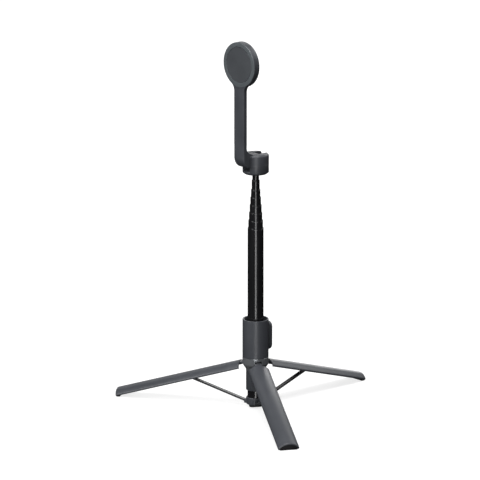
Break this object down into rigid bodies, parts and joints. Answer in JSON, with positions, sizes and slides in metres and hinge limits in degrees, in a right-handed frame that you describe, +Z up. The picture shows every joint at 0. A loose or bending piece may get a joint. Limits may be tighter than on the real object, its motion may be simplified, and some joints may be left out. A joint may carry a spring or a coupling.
{
  "type": "telescoping phone tripod",
  "caption": "Pocket tripod and phone stick: telescoping column, folding arc-shell legs with struts, tilting magnetic head and clip-on remote.",
  "frame": {"origin": "centre of the flat underside of the column foot, on the column axis", "axes": "+Z up the column; +Y from the column towards the user, the way the magnet pad faces; +X to the right seen from behind the disc"},
  "size_m": [0.3284, 0.2865, 0.4697],
  "materials": {
    "slate_plastic": "satin moulded plastic, slate grey",
    "hub_plastic": "smooth moulded plastic, slightly lighter grey",
    "black_tube": "gloss black anodised tube",
    "black_rubber": "matte black rubber",
    "bright_steel": "plain turned steel",
    "magnet_metal": "nickel-plated magnet",
    "board_green": "coated circuit board",
    "soft_grey": "fine matte plastic"
  },
  "bodies": {
    "handle": {"grip_shell": "slate_plastic", "guide_bush": "black_rubber", "hub": "hub_plastic", "sleeve": "slate_plastic", "leg_pin_1": "bright_steel", "leg_pin_2": "bright_steel", "leg_pin_3": "bright_steel", "remote_cradle": "black_rubber"},
    "column": {"main_tube": "black_tube", "tube_plug": "black_rubber", "spider": "hub_plastic", "foot_pad": "black_rubber"},
    "leg_1": {"leg_shell_1": "slate_plastic", "leg_pad_1": "black_rubber", "strut_pin_1": "bright_steel"},
    "strut_1": {"strut_1": "slate_plastic", "strut_foot_pin_1": "bright_steel"},
    "leg_2": {"leg_shell_2": "slate_plastic", "leg_pad_2": "black_rubber", "strut_pin_2": "bright_steel"},
    "strut_2": {"strut_2": "slate_plastic", "strut_foot_pin_2": "bright_steel"},
    "leg_3": {"leg_shell_3": "slate_plastic", "leg_pad_3": "black_rubber", "strut_pin_3": "bright_steel"},
    "strut_3": {"strut_3": "slate_plastic", "strut_foot_pin_3": "bright_steel"},
    "tube_7": {"tube_7": "black_tube"},
    "tube_6": {"tube_6": "black_tube"},
    "tube_5": {"tube_5": "black_tube"},
    "tube_4": {"tube_4": "black_tube"},
    "tube_3": {"tube_3": "black_tube"},
    "tube_2": {"tube_2": "black_tube"},
    "tube_1": {"tube_1": "black_tube", "pan_spindle": "bright_steel"},
    "head": {"head_cup": "slate_plastic", "head_ear_left": "slate_plastic", "head_ear_right": "slate_plastic", "tilt_pin": "bright_steel", "friction_washer_left": "bright_steel", "friction_washer_right": "bright_steel"},
    "arm": {"arm": "slate_plastic", "rear_cover": "soft_grey", "magnet_ring": "magnet_metal", "shield_plate": "bright_steel", "front_pad": "black_rubber"},
    "remote": {"remote_back": "slate_plastic", "remote_front": "slate_plastic", "remote_board": "board_green", "coin_cell": "bright_steel"},
    "button": {"shutter_button": "soft_grey"}
  },
  "joints": [
    {"name": "column_slide", "type": "slide", "parent": "handle", "child": "column", "axis": [0, 0, -1], "range_m": [0, 0.11406]},
    {"name": "leg_1_fold", "type": "hinge", "parent": "handle", "child": "leg_1", "pos_m": [0, 0.0135, 0.0575], "axis": [-1, 0, 0], "range_deg": [0, 72.8]},
    {"name": "strut_1_fold", "type": "hinge", "parent": "leg_1", "child": "strut_1", "pos_m": [0, 0.09155, 0.03232], "axis": [-1, 0, 0], "range_deg": [-144.8, 0]},
    {"name": "leg_2_fold", "type": "hinge", "parent": "handle", "child": "leg_2", "pos_m": [-0.01169, -0.00675, 0.0575], "axis": [0.5, -0.866, 0], "range_deg": [0, 72.8]},
    {"name": "strut_2_fold", "type": "hinge", "parent": "leg_2", "child": "strut_2", "pos_m": [-0.07928, -0.04577, 0.03232], "axis": [0.5, -0.866, 0], "range_deg": [-144.8, 0]},
    {"name": "leg_3_fold", "type": "hinge", "parent": "handle", "child": "leg_3", "pos_m": [0.01169, -0.00675, 0.0575], "axis": [0.5, 0.866, 0], "range_deg": [0, 72.8]},
    {"name": "strut_3_fold", "type": "hinge", "parent": "leg_3", "child": "strut_3", "pos_m": [0.07928, -0.04577, 0.03232], "axis": [0.5, 0.866, 0], "range_deg": [-144.8, 0]},
    {"name": "tube_7_slide", "type": "slide", "parent": "column", "child": "tube_7", "axis": [0, 0, 1], "range_m": [0, 0.165]},
    {"name": "tube_6_slide", "type": "slide", "parent": "tube_7", "child": "tube_6", "axis": [0, 0, 1], "range_m": [0, 0.165]},
    {"name": "tube_5_slide", "type": "slide", "parent": "tube_6", "child": "tube_5", "axis": [0, 0, 1], "range_m": [0, 0.165]},
    {"name": "tube_4_slide", "type": "slide", "parent": "tube_5", "child": "tube_4", "axis": [0, 0, 1], "range_m": [0, 0.165]},
    {"name": "tube_3_slide", "type": "slide", "parent": "tube_4", "child": "tube_3", "axis": [0, 0, 1], "range_m": [0, 0.165]},
    {"name": "tube_2_slide", "type": "slide", "parent": "tube_3", "child": "tube_2", "axis": [0, 0, 1], "range_m": [0, 0.165]},
    {"name": "tube_1_slide", "type": "slide", "parent": "tube_2", "child": "tube_1", "axis": [0, 0, 1], "range_m": [0, 0.165]},
    {"name": "pan", "type": "hinge", "parent": "tube_1", "child": "head", "pos_m": [0, 0, 0.3], "axis": [0, 0, 1], "continuous": true},
    {"name": "tilt", "type": "hinge", "parent": "head", "child": "arm", "pos_m": [0, 0, 0.3178], "axis": [1, 0, 0], "range_deg": [-180, 12]},
    {"name": "remote_pull", "type": "slide", "parent": "handle", "child": "remote", "axis": [0, 1, 0], "range_m": [0, 0.04]},
    {"name": "shutter_press", "type": "slide", "parent": "remote", "child": "button", "axis": [0, -1, 0], "range_m": [0, 0.0004], "stiffness_N_per_m": 1500}
  ],
  "couplings": [
    {"joint": "leg_1_fold", "follows": "column_slide", "rad_per_m": 11.132},
    {"joint": "strut_1_fold", "follows": "column_slide", "rad_per_m": -22.132},
    {"joint": "leg_2_fold", "follows": "column_slide", "rad_per_m": 11.132},
    {"joint": "strut_2_fold", "follows": "column_slide", "rad_per_m": -22.132},
    {"joint": "leg_3_fold", "follows": "column_slide", "rad_per_m": 11.132},
    {"joint": "strut_3_fold", "follows": "column_slide", "rad_per_m": -22.132}
  ]
}
